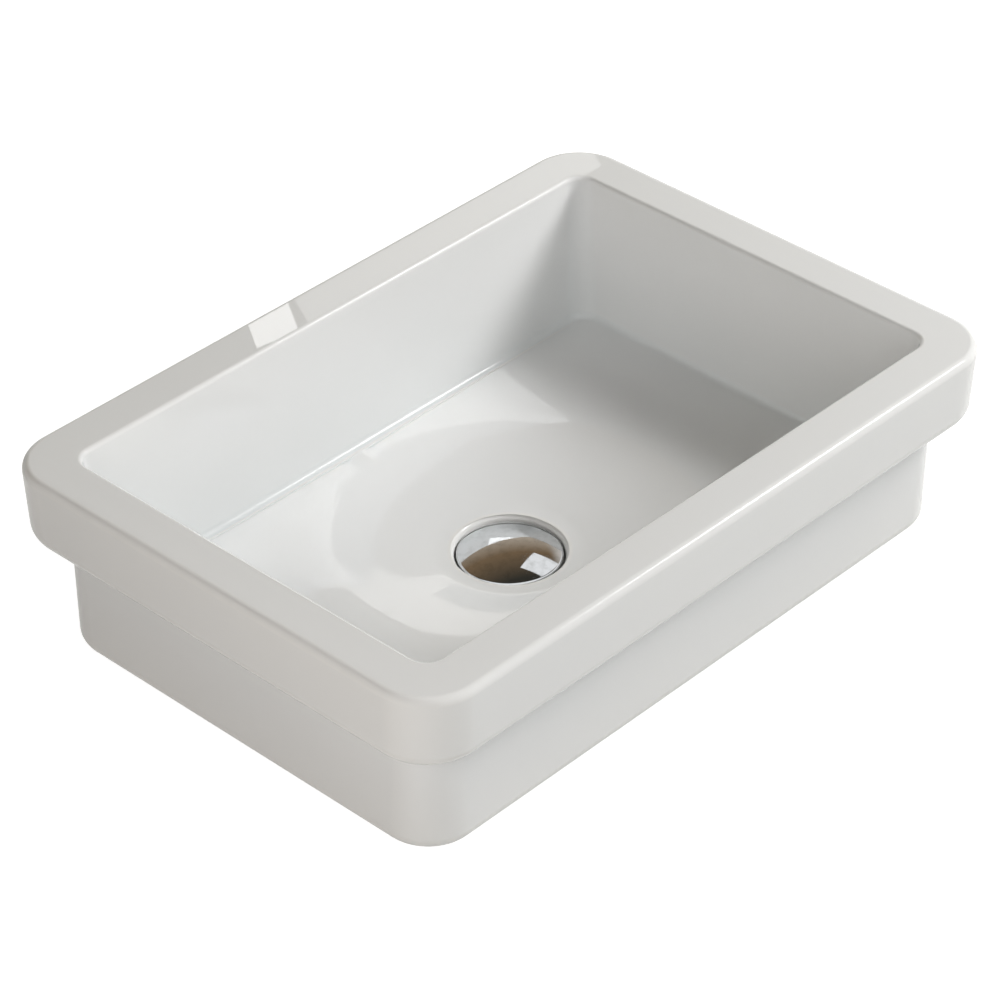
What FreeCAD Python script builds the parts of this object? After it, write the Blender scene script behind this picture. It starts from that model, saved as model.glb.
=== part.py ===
import FreeCAD, Part
import Sketcher
import math
import os

# Countertop basin with a push-open waste. The counter is the plane z = 0, x runs along the long
# side and the drain axis is the z axis. The plug is closed. Sizes are millimetres.

sizes = [
    ("basin_length", 500, "rim, long side"),
    ("basin_width", 348, "rim, short side"),
    ("basin_height", 130, "counter to rim"),
    ("band_height", 50, "rim band, top to lower edge"),
    ("band_draft", 2, "rim band draws in towards its lower edge"),
    ("band_corner", 36, "corner of the rim in plan"),
    ("step_inset", 20.5, "lower body stands in from the rim"),
    ("step_fall", 4, "underside of the band falls towards the lower body"),
    ("body_corner", 28, "corner of the lower body below the band"),
    ("foot_corner", 32, "corner of the lower body at the counter"),
    ("foot_flare", 0.5, "lower body widens towards the counter"),
    ("rim_side", 32, "rim width at the short sides"),
    ("rim_long", 32, "rim width along the long sides"),
    ("bowl_corner", 12, "corner of the bowl at the rim"),
    ("floor_corner", 14, "corner of the bowl at the floor"),
    ("lean_side", 5, "lean of the short walls"),
    ("lean_long", 8.5, "lean of the long walls"),
    ("margin_fall", 1, "fall of the floor from the walls to the round pan"),
    ("pan_radius", 110, "round pan in the floor"),
    ("pan_fall", 10.5, "fall of the pan to the drain"),
    ("floor_wall", 13, "china below the edge of the floor"),
    ("outlet_clear", 1.5, "counter to the china at the outlet"),
    ("outlet_wall", 7, "china clamped by the waste"),
    ("outlet_gap", 1.55, "outlet hole round the barrel"),
    ("outlet_land", 17, "flat round the cone washer"),
    ("foot_width", 26, "foot ring on the counter"),
    ("hollow_corner", 18, "corner of the hollow below"),
    ("rim_round", 5.5, "outer edge of the rim"),
    ("lip_round", 3, "inner edge of the rim"),
    ("band_round", 11, "lower edge of the band"),
    ("step_round", 7, "hollow corner below the band"),
    ("base_round", 10, "outer edge of the foot"),
    ("foot_round", 3, "inner edge of the foot"),
    ("floor_round", 5, "hollow corner round the floor"),
    ("pan_round", 150, "soft edge of the pan"),
    ("dish_flat", 8, "flat round the drain recess"),
    ("dish_round", 5, "edge of the drain recess"),
    ("round_spare", 0.5, "straight left between the quarters of a round flat"),
    ("recess_gap", 1, "drain recess round the cap"),
    ("cap_radius", 33, "plug cap"),
    ("cap_cover", 1.5, "cap beyond the flange"),
    ("cap_lip", 2.4, "upright edge of the cap"),
    ("cap_rise", 5.3, "dome above the lip"),
    ("cap_wall", 2, "wall of the cap"),
    ("cap_ledge", 2, "ledge in the cap above the carrier"),
    ("cap_round", 1.2, "outer edge of the dome"),
    ("flange_edge", 2.5, "waste flange thickness"),
    ("flange_sink", 5.5, "flange below the flat round the drain"),
    ("flange_round", 0.8, "outer edge of the flange"),
    ("throat_bevel", 2, "bevel at the mouth of the barrel"),
    ("barrel_radius", 20.95, "outlet thread, outside"),
    ("barrel_wall", 2.45, "wall of the barrel"),
    ("barrel_rest", 9, "barrel below the bridge"),
    ("thread_gap", 0.1, "clearance of threaded pieces"),
    ("seal_inset", 1, "flange seal inside the flange"),
    ("seal_edge", 1.5, "flange seal thickness"),
    ("cone_radius", 29, "cone washer"),
    ("cone_edge", 6, "cone washer thickness"),
    ("cone_nose", 2, "nose of the cone washer in the hole"),
    ("nose_gap", 0.2, "nose to the hole"),
    ("nose_taper", 0.7, "nose draws in"),
    ("slip_radius", 28, "nylon ring"),
    ("slip_edge", 1.5, "nylon ring thickness"),
    ("nut_flats", 52, "back nut across flats"),
    ("nut_edge", 9, "back nut thickness"),
    ("bridge_edge", 6, "bridge thickness"),
    ("bridge_arm", 5, "bridge arm width"),
    ("hub_radius", 9, "bridge hub"),
    ("tail_radius", 16, "outlet tube, outside"),
    ("tail_wall", 1.5, "wall of the outlet tube"),
    ("tail_length", 62, "outlet tube below its neck"),
    ("tail_collar", 1.5, "collar of the outlet tube, thickness"),
    ("tail_seal_edge", 2, "tail seal thickness"),
    ("neck_step", 0.3, "neck of the outlet tube inside the tube"),
    ("neck_spare", 2, "neck below the union nut"),
    ("union_wall", 3.95, "wall of the union nut at a flat"),
    ("union_depth", 14, "thread of the union nut"),
    ("union_floor", 3, "lip of the union nut below the collar"),
    ("union_gap", 0.2, "lip of the union nut round the tube"),
    ("carrier_gap", 0.2, "carrier in the cap"),
    ("carrier_edge", 2.2, "carrier thickness"),
    ("boss_radius", 7.5, "boss of the carrier"),
    ("boss_length", 5.6, "boss below the carrier"),
    ("boss_space", 1, "closed boss above the gland"),
    ("plug_seal_width", 2.7, "ring width of the plug seal"),
    ("plug_seal_depth", 1.2, "plug seal sunk in the carrier"),
    ("plug_seal_proud", 0.3, "plug seal below the carrier"),
    ("plug_seal_gap", 0.05, "plug seal in its groove"),
    ("plug_gap", 0.3, "closed plug seal above the flange"),
    ("plug_lift", 9, "travel of the plug"),
    ("rod_radius", 6, "cam rod"),
    ("foot_step", 1.4, "foot of the rod beyond the rod"),
    ("foot_edge", 2, "foot thickness"),
    ("tip_radius", 4, "threaded tip of the rod"),
    ("tip_length", 7, "threaded tip length"),
    ("run_gap", 0.08, "running clearance"),
    ("ball_radius", 1.5, "steel balls"),
    ("ball_proud", 0.5, "ball centre outside the face of the rod"),
    ("ball_gap", 0.1, "ball in its hole and in the track"),
    ("race_gap", 0.18, "ball to the sleeve"),
    ("cage_height", 5, "ball cage"),
    ("cage_play", 0.1, "end play of the cage"),
    ("cage_gap", 0.15, "cage round the rod"),
    ("lift_spare", 0.5, "foot below the cage when the plug is open"),
    ("sleeve_wall", 1.8, "wall of the sleeve"),
    ("sleeve_floor", 3, "bottom of the sleeve"),
    ("stud_radius", 5, "stud of the sleeve"),
    ("stud_proud", 4, "stud below the bridge"),
    ("lock_flats", 17, "locknut across flats"),
    ("lock_edge", 5, "locknut thickness"),
    ("lock_space", 1, "locknut to the sleeve"),
    ("gland_nose", 9.4, "gland inside the sleeve"),
    ("gland_head", 3, "gland hexagon thickness"),
    ("gland_flats", 19, "gland across flats"),
    ("wiper_wire", 0.7, "gland seal, half its thickness"),
    ("wiper_play", 0.1, "gland seal in its groove"),
    ("wiper_depth", 2.4, "gland seal below the top of the gland"),
    ("spring_room", 12, "spring with the plug closed"),
    ("spring_wire", 1, "spring wire"),
    ("spring_step", 0.2, "coil centre outside the face of the rod"),
    ("spring_turns", 7, "turns of the spring"),
    ("spring_play", 0.1, "spring to its seats"),
    ("cut_spare", 1, "cutters beyond the face they open"),
]
arm_count = 3
cam_count = 3
turn_steps = 4
nut_bevel = 30

doc = FreeCAD.newDocument("countertop_basin")
sheet = doc.addObject("Spreadsheet::Sheet", "dim")
for row, (alias, value, note) in enumerate(sizes, 1):
    sheet.set(f"A{row}", note)
    sheet.set(f"B{row}", str(value))
    sheet.setAlias(f"B{row}", alias)
doc.recompute()

# Levels of the china, from the counter up
rim_top = "(dim.basin_height)"
band_under = "(dim.basin_height - dim.band_height)"
step_under = f"({band_under} - dim.step_fall)"
outlet_under = "(dim.outlet_clear)"
seat = f"({outlet_under} + dim.outlet_wall)"
flange_under = f"({seat} + dim.seal_edge)"
flange_top = f"({flange_under} + dim.flange_edge)"
dish = f"({flange_top} + dim.flange_sink)"
pan = f"({dish} + dim.pan_fall)"
floor_edge = f"({pan} + dim.margin_fall)"
hollow_top = f"({floor_edge} - dim.floor_wall)"

# Levels of the clamping stack below the china
cone_under = f"({outlet_under} - dim.cone_edge)"
slip_under = f"({cone_under} - dim.slip_edge)"
nut_under = f"({slip_under} - dim.nut_edge)"

# Levels of the plug and the cartridge, from the flange down
plug_seal_under = f"({flange_top} + dim.plug_gap)"
carrier_under = f"({plug_seal_under} + dim.plug_seal_proud)"
carrier_top = f"({carrier_under} + dim.carrier_edge)"
cap_edge = f"({carrier_under} + dim.cap_lip)"
cap_top = f"({cap_edge} + dim.cap_rise)"
boss_under = f"({carrier_under} - dim.boss_length)"
gland_top = f"({boss_under} - dim.boss_space)"
sleeve_top = f"({gland_top} - dim.gland_head)"
gland_under = f"({sleeve_top} - dim.gland_nose)"
cage_top = f"({gland_under} - dim.cage_play)"
cage_under = f"({cage_top} - dim.cage_height)"
cage_shelf = f"({cage_under} - dim.cage_play)"
ball_level = f"({cage_under} + dim.cage_height / 2)"
foot_top = f"({cage_under} - dim.lift_spare - dim.plug_lift)"
foot_under = f"({foot_top} - dim.foot_edge)"
sleeve_inside = f"({foot_under} - dim.spring_room)"
sleeve_under = f"({sleeve_inside} - dim.sleeve_floor)"
lock_top = f"({sleeve_under} - dim.lock_space)"
bridge_top = f"({lock_top} - dim.lock_edge)"
bridge_under = f"({bridge_top} - dim.bridge_edge)"
stud_under = f"({bridge_under} - dim.stud_proud)"
barrel_under = f"({bridge_under} - dim.barrel_rest)"
tail_shoulder = f"({barrel_under} - dim.tail_seal_edge)"
union_top = f"({tail_shoulder} + dim.union_depth)"
collar_under = f"({tail_shoulder} - dim.tail_collar)"
union_under = f"({collar_under} - dim.union_floor)"
neck_under = f"({union_under} - dim.neck_spare)"
tail_under = f"({neck_under} - dim.tail_length)"

# Radii that pieces share
recess_radius = "(dim.cap_radius + dim.recess_gap)"
dish_radius = f"({recess_radius} + dim.dish_flat)"
flange_radius = "(dim.cap_radius - dim.cap_cover)"
barrel_bore = "(dim.barrel_radius - dim.barrel_wall)"
barrel_clear = "(dim.barrel_radius + dim.thread_gap)"
outlet_radius = "(dim.barrel_radius + dim.outlet_gap)"
tail_bore = "(dim.tail_radius - dim.tail_wall)"
tail_neck = "(dim.tail_radius - dim.neck_step)"
cap_inside = "(dim.cap_radius - dim.cap_wall)"
carrier_radius = f"({cap_inside} - dim.carrier_gap)"
tip_clear = "(dim.tip_radius + dim.thread_gap)"
foot_radius = "(dim.rod_radius + dim.foot_step)"
sleeve_bore = f"({foot_radius} + dim.run_gap)"
ball_circle = "(dim.rod_radius + dim.ball_proud)"
race_radius = f"({ball_circle} + dim.ball_radius + dim.race_gap)"
sleeve_radius = f"({race_radius} + dim.sleeve_wall)"
stud_clear = "(dim.stud_radius + dim.thread_gap)"
gland_bore = "(dim.rod_radius + dim.run_gap)"
wiper_circle = f"({gland_bore} + dim.wiper_wire)"
wiper_level = f"({gland_top} - dim.wiper_depth)"


def number(expression):
    return float(sheet.evalExpression(expression))


# Each piece is a body; its features are added in order.
def new_body(label):
    body = doc.addObject("PartDesign::Body", label)
    body.Label = label
    return body


def add_sketch(body, name, role, level):
    sketch = body.newObject("Sketcher::SketchObject", name)
    plane = next(item for item in body.Origin.OriginFeatures if item.Role == role)
    sketch.AttachmentSupport = [(plane, "")]
    sketch.MapMode = "FlatFace"
    if level:
        sketch.setExpression("AttachmentOffset.Base.z", level)
    return sketch


def bind(sketch, name, kind, where, expression):
    index = sketch.addConstraint(Sketcher.Constraint(kind, *where, number(expression)))
    sketch.renameConstraint(index, name)
    sketch.setExpression(f"Constraints.{name}", expression)


# Closed outline with every corner held by two sizes. A corner marked "dome" starts an arc that is
# centred on the upright axis.
def outline(body, name, corners, role="XZ_Plane", level=None):
    sketch = add_sketch(body, name, role, level)
    points = [FreeCAD.Vector(number(corner[0]), number(corner[1]), 0) for corner in corners]
    ends = []
    for index, corner in enumerate(corners):
        start = points[index]
        stop = points[(index + 1) % len(points)]
        if len(corner) == 3:
            centre = (stop.x**2 + stop.y**2 - start.x**2 - start.y**2) / (2 * (stop.y - start.y))
            first = math.atan2(start.y - centre, start.x)
            last = math.atan2(stop.y - centre, stop.x)
            middle = FreeCAD.Vector(0, centre, 0)
            circle = Part.Circle(middle, FreeCAD.Vector(0, 0, 1), start.distanceToPoint(middle))
            item = sketch.addGeometry(Part.ArcOfCircle(circle, min(first, last), max(first, last)), False)
            sketch.addConstraint(Sketcher.Constraint("PointOnObject", item, 3, -2))
            ends.append((item, 1, 2) if first < last else (item, 2, 1))
        else:
            item = sketch.addGeometry(Part.LineSegment(start, stop), False)
            ends.append((item, 1, 2))
    for index, (item, start, stop) in enumerate(ends):
        following = ends[(index + 1) % len(ends)]
        sketch.addConstraint(Sketcher.Constraint("Coincident", item, stop, following[0], following[1]))
        for axis, kind, value, line in (("x", "DistanceX", corners[index][0], -2),
                                        ("y", "DistanceY", corners[index][1], -1)):
            if value == "0":
                sketch.addConstraint(Sketcher.Constraint("PointOnObject", item, start, line))
            else:
                bind(sketch, f"{axis}{index}", kind, (-1, 1, item, start), value)
    return sketch


# Rectangle with rounded corners about the drain axis
def rounded_rectangle(body, name, length, width, corner, level):
    sketch = add_sketch(body, name, "XY_Plane", level)
    radius = number(corner)
    half_x = number(length) / 2 - radius
    half_y = number(width) / 2 - radius
    arcs = []
    for index, (x, y) in enumerate(((half_x, half_y), (-half_x, half_y), (-half_x, -half_y), (half_x, -half_y))):
        circle = Part.Circle(FreeCAD.Vector(x, y, 0), FreeCAD.Vector(0, 0, 1), radius)
        quarter = Part.ArcOfCircle(circle, index * math.pi / 2, (index + 1) * math.pi / 2)
        arcs.append(sketch.addGeometry(quarter, False))
    for index, arc in enumerate(arcs):
        following = arcs[(index + 1) % 4]
        side = Part.LineSegment(sketch.Geometry[arc].EndPoint, sketch.Geometry[following].StartPoint)
        line = sketch.addGeometry(side, False)
        sketch.addConstraint(Sketcher.Constraint("Tangent", arc, 2, line, 1))
        sketch.addConstraint(Sketcher.Constraint("Tangent", line, 2, following, 1))
        sketch.addConstraint(Sketcher.Constraint("Vertical" if index % 2 else "Horizontal", line))
        if index:
            sketch.addConstraint(Sketcher.Constraint("Equal", arcs[0], arc))
    sketch.addConstraint(Sketcher.Constraint("Symmetric", arcs[0], 3, arcs[2], 3, -1, 1))
    bind(sketch, "span_x", "DistanceX", (arcs[2], 3, arcs[0], 3), f"{length} - 2 * {corner}")
    bind(sketch, "span_y", "DistanceY", (arcs[2], 3, arcs[0], 3), f"{width} - 2 * {corner}")
    bind(sketch, "corner", "Radius", (arcs[0],), corner)
    return sketch


# Round flat drawn as a rectangle whose corners all but meet, so that lofts join it side by side
def round_flat(body, name, radius, level):
    span = f"(2 * {radius})"
    return rounded_rectangle(body, name, span, span, f"({radius} - dim.round_spare)", level)


def loft(body, kind, name, first, *others):
    feature = body.newObject(f"PartDesign::{kind}Loft", name)
    feature.Profile = first
    feature.Sections = list(others)
    feature.Ruled = True
    doc.recompute()


def turn(body, kind, name, corners):
    sketch = outline(body, f"{name}_outline", corners)
    feature = body.newObject(f"PartDesign::{kind}", name)
    feature.Profile = sketch
    feature.ReferenceAxis = (sketch, ["V_Axis"])
    feature.Angle = 360
    doc.recompute()


def pad(body, name, sketch, length):
    feature = body.newObject("PartDesign::Pad", name)
    feature.Profile = sketch
    feature.setExpression("Length", length)
    doc.recompute()
    return feature


def round_edges(body, name, radius, chosen):
    base = body.Tip
    edges = [f"Edge{index}" for index, edge in enumerate(base.Shape.Edges, 1) if chosen(edge)]
    feature = body.newObject("PartDesign::Fillet", name)
    feature.Base = (base, edges)
    feature.setExpression("Radius", radius)
    doc.recompute()


def repeat(body, name, feature, axis, count):
    pattern = body.newObject("PartDesign::PolarPattern", name)
    pattern.Originals = [feature]
    pattern.Axis = axis
    pattern.Angle = 360
    pattern.Occurrences = count
    body.Tip = pattern
    doc.recompute()


def at_level(edge, level):
    box = edge.BoundBox
    return abs(box.ZMin - level) < 1e-3 and abs(box.ZMax - level) < 1e-3


def circle_at(radius, level):
    def chosen(edge):
        return at_level(edge, number(level)) and abs(edge.BoundBox.XMax - number(radius)) < 1e-3
    return chosen


def ring(label, inner, outer, under, top):
    body = new_body(label)
    turn(body, "Revolution", "section", [(inner, under), (outer, under), (outer, top), (inner, top)])
    return body


# Hexagon with the corners of the given end faces bevelled
def hexagon(body, name, flats, under, top, bevelled):
    corner = f"({flats} / sqrt(3))"
    sides = []
    for index in range(6):
        across = f"{corner} * sin({60 * index} deg)" if index % 3 else "0"
        sides.append((f"{corner} * cos({60 * index} deg)", across))
    sketch = outline(body, f"{name}_sides", sides, "XY_Plane", under)
    pad(body, name, sketch, f"{top} - {under}")
    start = f"({flats} / 2)"
    far = f"({corner} + dim.cut_spare)"
    fall = f"({far} - {start}) * tan({nut_bevel} deg)"
    for end, sign in bevelled:
        side = "top" if sign == "-" else "under"
        turn(body, "Groove", f"{name}_bevel_{side}", [(start, end), (far, end), (far, f"{end} {sign} {fall}")])


def bore_through(body, name, radius, under, top):
    below = f"{under} - dim.cut_spare"
    above = f"{top} + dim.cut_spare"
    turn(body, "Groove", name, [("0", below), (radius, below), (radius, above), ("0", above)])


def hexagon_nut(label, flats, bore, under, top):
    body = new_body(label)
    hexagon(body, "flats", flats, under, top, ((top, "-"), (under, "+")))
    bore_through(body, "bore", bore, under, top)
    return body


# Basin: rim band over a set-in lower body, a leaning bowl whose floor falls to the drain in a round
# pan, and a hollow below that keeps the floor even in thickness
def make_basin():
    body = new_body("basin_bowl")
    body_length = "(dim.basin_length - 2 * dim.step_inset)"
    body_width = "(dim.basin_width - 2 * dim.step_inset)"
    foot_length = f"({body_length} + 2 * dim.foot_flare)"
    foot_wide = f"({body_width} + 2 * dim.foot_flare)"
    foot = rounded_rectangle(body, "foot_plan", foot_length, foot_wide, "dim.foot_corner", None)
    waist = rounded_rectangle(body, "waist_plan", body_length, body_width, "dim.body_corner", step_under)
    band_low = rounded_rectangle(body, "band_low_plan", "(dim.basin_length - 2 * dim.band_draft)",
                                 "(dim.basin_width - 2 * dim.band_draft)", "dim.band_corner", band_under)
    band_top = rounded_rectangle(body, "band_top_plan", "dim.basin_length", "dim.basin_width",
                                 "dim.band_corner", rim_top)
    loft(body, "Additive", "outside", foot, waist, band_low, band_top)

    mouth_length = "(dim.basin_length - 2 * dim.rim_side)"
    mouth_width = "(dim.basin_width - 2 * dim.rim_long)"
    floor_length = f"({mouth_length} - 2 * dim.lean_side)"
    floor_width = f"({mouth_width} - 2 * dim.lean_long)"
    mouth = rounded_rectangle(body, "mouth_plan", mouth_length, mouth_width, "dim.bowl_corner", rim_top)
    floor = rounded_rectangle(body, "floor_plan", floor_length, floor_width, "dim.floor_corner", floor_edge)
    pan_edge = round_flat(body, "pan_plan", "dim.pan_radius", pan)
    floor_end = round_flat(body, "dish_plan", dish_radius, dish)
    loft(body, "Subtractive", "bowl", mouth, floor, pan_edge, floor_end)

    hollow_length = f"({foot_length} - 2 * dim.foot_width)"
    hollow_width = f"({foot_wide} - 2 * dim.foot_width)"
    hollow_low = rounded_rectangle(body, "hollow_plan", hollow_length, hollow_width, "dim.hollow_corner", None)
    hollow_up = rounded_rectangle(body, "hollow_top_plan", hollow_length, hollow_width, "dim.hollow_corner",
                                  hollow_top)
    loft(body, "Subtractive", "hollow", hollow_low, hollow_up)
    belly_up = rounded_rectangle(body, "belly_plan", hollow_length, hollow_width, "dim.hollow_corner", hollow_top)
    belly_pan = round_flat(body, "belly_pan_plan", "dim.pan_radius", f"({pan} - dim.floor_wall)")
    belly_low = round_flat(body, "outlet_plan", "(dim.cone_radius + dim.outlet_land)", outlet_under)
    loft(body, "Additive", "belly", belly_up, belly_pan, belly_low)

    below = f"{outlet_under} - dim.cut_spare"
    above = f"{dish} + dim.cut_spare"
    turn(body, "Groove", "drain", [
        ("0", below), (outlet_radius, below), (outlet_radius, seat), (recess_radius, seat),
        (recess_radius, above), ("0", above)])

    half_x = number("dim.basin_length / 2")
    half_y = number("dim.basin_width / 2")

    # Edge at a level, outside or inside a line that lies the given distance in from the rim
    def edge_of(level, inset, outside):
        def chosen(edge):
            middle = edge.valueAt((edge.FirstParameter + edge.LastParameter) / 2)
            beyond = abs(middle.x) > half_x - number(inset) or abs(middle.y) > half_y - number(inset)
            return at_level(edge, number(level)) and beyond == outside
        return chosen

    mid_rim = "(dim.rim_long / 2)"
    mid_step = "((dim.step_inset + dim.band_draft) / 2)"
    mid_foot = "(dim.step_inset + dim.foot_width / 2)"
    round_edges(body, "floor_corner_round", "dim.floor_round", edge_of(floor_edge, mid_rim, False))
    round_edges(body, "pan_edge_round", "dim.pan_round", lambda edge: at_level(edge, number(pan)))
    round_edges(body, "step_corner_round", "dim.step_round", edge_of(step_under, mid_step, False))
    round_edges(body, "band_edge_round", "dim.band_round", edge_of(band_under, mid_step, True))
    round_edges(body, "rim_edge_round", "dim.rim_round", edge_of(rim_top, mid_rim, True))
    round_edges(body, "lip_edge_round", "dim.lip_round", edge_of(rim_top, mid_rim, False))
    round_edges(body, "base_edge_round", "dim.base_round", edge_of("0", mid_foot, True))
    round_edges(body, "foot_edge_round", "dim.foot_round", edge_of("0", mid_foot, False))
    round_edges(body, "dish_edge_round", "dim.dish_round", circle_at(recess_radius, dish))


# Waste: flange and barrel with a three-armed bridge that holds the cartridge
def make_waste_body():
    body = new_body("waste_body")
    turn(body, "Revolution", "barrel", [
        (f"{barrel_bore} + dim.throat_bevel", flange_top), (flange_radius, flange_top),
        (flange_radius, flange_under), ("dim.barrel_radius", flange_under), ("dim.barrel_radius", barrel_under),
        (barrel_bore, barrel_under), (barrel_bore, f"{flange_top} - dim.throat_bevel")])
    round_edges(body, "flange_edge_round", "dim.flange_round", circle_at(flange_radius, flange_top))
    reach = f"({barrel_bore} + dim.barrel_wall / 2)"
    half = "(dim.bridge_arm / 2)"
    arm_plan = outline(body, "arm_plan", [("dim.stud_radius", f"-{half}"), (reach, f"-{half}"), (reach, half),
                                          ("dim.stud_radius", half)], "XY_Plane", bridge_under)
    arm = pad(body, "arm", arm_plan, "dim.bridge_edge")
    repeat(body, "arms", arm, (arm_plan, ["N_Axis"]), arm_count)
    turn(body, "Revolution", "hub", [(stud_clear, bridge_under), ("dim.hub_radius", bridge_under),
                                     ("dim.hub_radius", bridge_top), (stud_clear, bridge_top)])
    bore_through(body, "hub_thread", stud_clear, bridge_under, bridge_top)


# Clamping stack: seal, cone washer with its nose in the hole, nylon ring and back nut
def make_clamp():
    ring("flange_seal", barrel_clear, f"{flange_radius} - dim.seal_inset", seat, flange_under)
    cone = new_body("cone_washer")
    nose = f"({outlet_radius} - dim.nose_gap)"
    nose_top = f"({outlet_under} + dim.cone_nose)"
    turn(cone, "Revolution", "section", [
        (barrel_clear, cone_under), ("dim.cone_radius", cone_under), ("dim.cone_radius", outlet_under),
        (nose, outlet_under), (f"{nose} - dim.nose_taper", nose_top), (barrel_clear, nose_top)])
    ring("slip_washer", barrel_clear, "dim.slip_radius", slip_under, cone_under)
    hexagon_nut("back_nut", "dim.nut_flats", barrel_clear, nut_under, slip_under)


# Outlet: seal, collared tube and the union nut that draws the collar up to the barrel
def make_tail():
    ring("tail_seal", tail_bore, "dim.barrel_radius", tail_shoulder, barrel_under)
    tube = new_body("tail_pipe")
    turn(tube, "Revolution", "collar_and_tube", [
        (tail_bore, tail_under), ("dim.tail_radius", tail_under), ("dim.tail_radius", neck_under),
        (tail_neck, neck_under), (tail_neck, collar_under), ("dim.barrel_radius", collar_under),
        ("dim.barrel_radius", tail_shoulder), (tail_bore, tail_shoulder)])
    flats = f"(2 * ({barrel_clear} + dim.union_wall))"
    union = hexagon_nut("union_nut", flats, "dim.tail_radius + dim.union_gap", union_under, union_top)
    above = f"{union_top} + dim.cut_spare"
    turn(union, "Groove", "thread", [("0", collar_under), (barrel_clear, collar_under), (barrel_clear, above),
                                     ("0", above)])


# Plug: domed cap over a carrier that holds the seal and takes the tip of the rod
def make_plug():
    cap = new_body("plug_cap")
    inner = f"({cap_inside} - dim.cap_ledge)"
    turn(cap, "Revolution", "dome", [
        ("0", f"{cap_top} - dim.cap_wall", "dome"), (inner, carrier_top), (cap_inside, carrier_top),
        (cap_inside, carrier_under), ("dim.cap_radius", carrier_under), ("dim.cap_radius", cap_edge, "dome"),
        ("0", cap_top)])
    round_edges(cap, "dome_edge_round", "dim.cap_round", circle_at("dim.cap_radius", cap_edge))

    carrier = new_body("plug_carrier")
    groove_radius = f"({carrier_radius} - dim.plug_seal_width)"
    groove_top = f"({carrier_under} + dim.plug_seal_depth)"
    turn(carrier, "Revolution", "disc_and_boss", [
        (tip_clear, boss_under), ("dim.boss_radius", boss_under), ("dim.boss_radius", carrier_under),
        (groove_radius, carrier_under), (groove_radius, groove_top), (carrier_radius, groove_top),
        (carrier_radius, carrier_top), (tip_clear, carrier_top)])
    ring("plug_seal", f"{groove_radius} + dim.plug_seal_gap", carrier_radius, plug_seal_under, groove_top)


# Track that the balls follow: from each low corner one stroke climbs to either side, so the cage
# always turns the same way, half a cam on the way up and half on the way down
def make_cam_rod():
    blank = new_body("rod_blank")
    turn(blank, "Revolution", "rod", [
        ("0", foot_under), (foot_radius, foot_under), (foot_radius, foot_top), ("dim.rod_radius", foot_top),
        ("dim.rod_radius", boss_under), ("dim.tip_radius", boss_under),
        ("dim.tip_radius", f"{boss_under} + dim.tip_length"), ("0", f"{boss_under} + dim.tip_length")])
    lift = number("dim.plug_lift")
    radius = number(ball_circle)
    groove = number("dim.ball_radius + dim.ball_gap")
    pitch = lift * 2 * cam_count
    low_corner = FreeCAD.Vector(radius, 0, 0)
    strokes = []
    for left_handed in (False, True):
        path = Part.makeHelix(pitch, lift, radius, 0, left_handed)
        side = -1 if left_handed else 1
        heading = FreeCAD.Vector(0, side * 2 * math.pi * radius, pitch)
        section = Part.Wire(Part.makeCircle(groove, low_corner, heading))
        stroke = path.makePipeShell([section], True, True)
        strokes.append(stroke.fuse(Part.makeSphere(groove, path.Vertexes[-1].Point)))
    cam = strokes[0].fuse([strokes[1], Part.makeSphere(groove, low_corner)])
    cams = []
    for index in range(cam_count):
        turned = cam.copy()
        turned.rotate(FreeCAD.Vector(0, 0, 0), FreeCAD.Vector(0, 0, 1), (index + 0.5) * 360 / cam_count)
        cams.append(turned)
    track = doc.addObject("Part::Feature", "ball_track")
    track.Shape = cams[0].fuse(cams[1:])
    track.setExpression("Placement.Base.z", f"{ball_level} - dim.plug_lift")
    rod = doc.addObject("Part::Cut", "cam_rod")
    rod.Label = "cam_rod"
    rod.Base = blank
    rod.Tool = track
    doc.recompute()


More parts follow.
